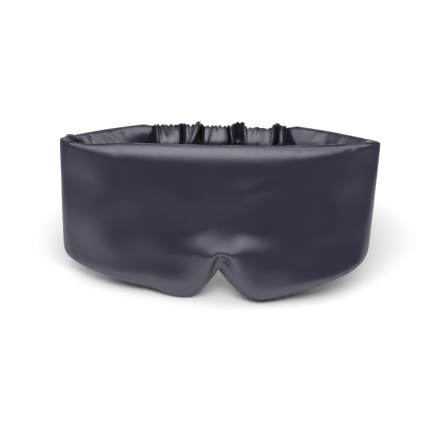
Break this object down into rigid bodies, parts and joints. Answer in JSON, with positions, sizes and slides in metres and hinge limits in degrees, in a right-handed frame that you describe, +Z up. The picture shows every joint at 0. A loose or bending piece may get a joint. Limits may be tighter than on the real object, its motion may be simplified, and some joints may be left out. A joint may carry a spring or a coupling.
{
  "type": "sleep eye mask",
  "caption": "Padded satin sleep mask worn as a loop: wide front pad with a nose notch, two padded wings and a ruched elastic band behind.",
  "frame": {"origin": "on the surface it stands on, under the middle of the standing mask", "axes": "+X to the right as seen from the front, -Y towards the viewer of the front face, +Z up. The mask leans back 23.4 degrees, so its own up direction is (0, 0.397342, 0.917671)"},
  "size_m": [0.2246, 0.1326, 0.0992],
  "materials": {
    "satin_shell": "satin",
    "satin_lining": "satin",
    "satin_sleeve": "satin",
    "blackout_fabric": "matte",
    "wadding": "matte",
    "elastic": "matte",
    "thread": "satin"
  },
  "bodies": {
    "front": {"front_shell": "satin_shell", "front_lining": "satin_lining", "front_blackout_layer": "blackout_fabric", "front_wadding": "wadding", "front_top_seam": "thread", "front_bottom_seam": "thread"},
    "left_wing": {"left_wing_shell": "satin_shell", "left_wing_lining": "satin_lining", "left_wing_blackout_layer": "blackout_fabric", "left_wing_wadding": "wadding", "left_wing_top_seam": "thread", "left_wing_bottom_seam": "thread", "left_wing_band_bartack": "thread"},
    "right_wing": {"right_wing_shell": "satin_shell", "right_wing_lining": "satin_lining", "right_wing_blackout_layer": "blackout_fabric", "right_wing_wadding": "wadding", "right_wing_top_seam": "thread", "right_wing_bottom_seam": "thread", "right_wing_band_bartack": "thread"},
    "band_left": {"sleeve_outer": "satin_sleeve", "sleeve_inner": "satin_sleeve", "sleeve_top_seam": "thread", "sleeve_bottom_seam": "thread"},
    "band_right": {"elastic_webbing": "elastic"}
  },
  "joints": [
    {"name": "left_wing_fold", "type": "hinge", "parent": "front", "child": "left_wing", "pos_m": [-0.1125, -0.0209, 0.05415], "axis": [0, 0.3973, 0.9177], "range_deg": [-6, 32], "stiffness_Nm_per_rad": 0.5},
    {"name": "right_wing_fold", "type": "hinge", "parent": "front", "child": "right_wing", "pos_m": [0.1125, -0.0209, 0.05415], "axis": [0, 0.3973, 0.9177], "range_deg": [-32, 6]},
    {"name": "left_band_seam", "type": "hinge", "parent": "left_wing", "child": "band_left", "pos_m": [-0.05004, 0.04294, 0.03195], "axis": [0, 0.3973, 0.9177], "range_deg": [-32, 6]},
    {"name": "band_stretch", "type": "slide", "parent": "band_left", "child": "band_right", "axis": [1, 0, 0], "range_m": [-0.0165, 0.088], "deforming": ["sleeve_outer", "sleeve_inner", "sleeve_top_seam", "sleeve_bottom_seam", "elastic_webbing"]}
  ],
  "couplings": [
    {"joint": "right_wing_fold", "follows": "left_wing_fold", "ratio": -1},
    {"joint": "left_band_seam", "follows": "left_wing_fold", "ratio": -1},
    {"joint": "band_stretch", "follows": "left_wing_fold", "m_per_rad": 0.1565}
  ]
}
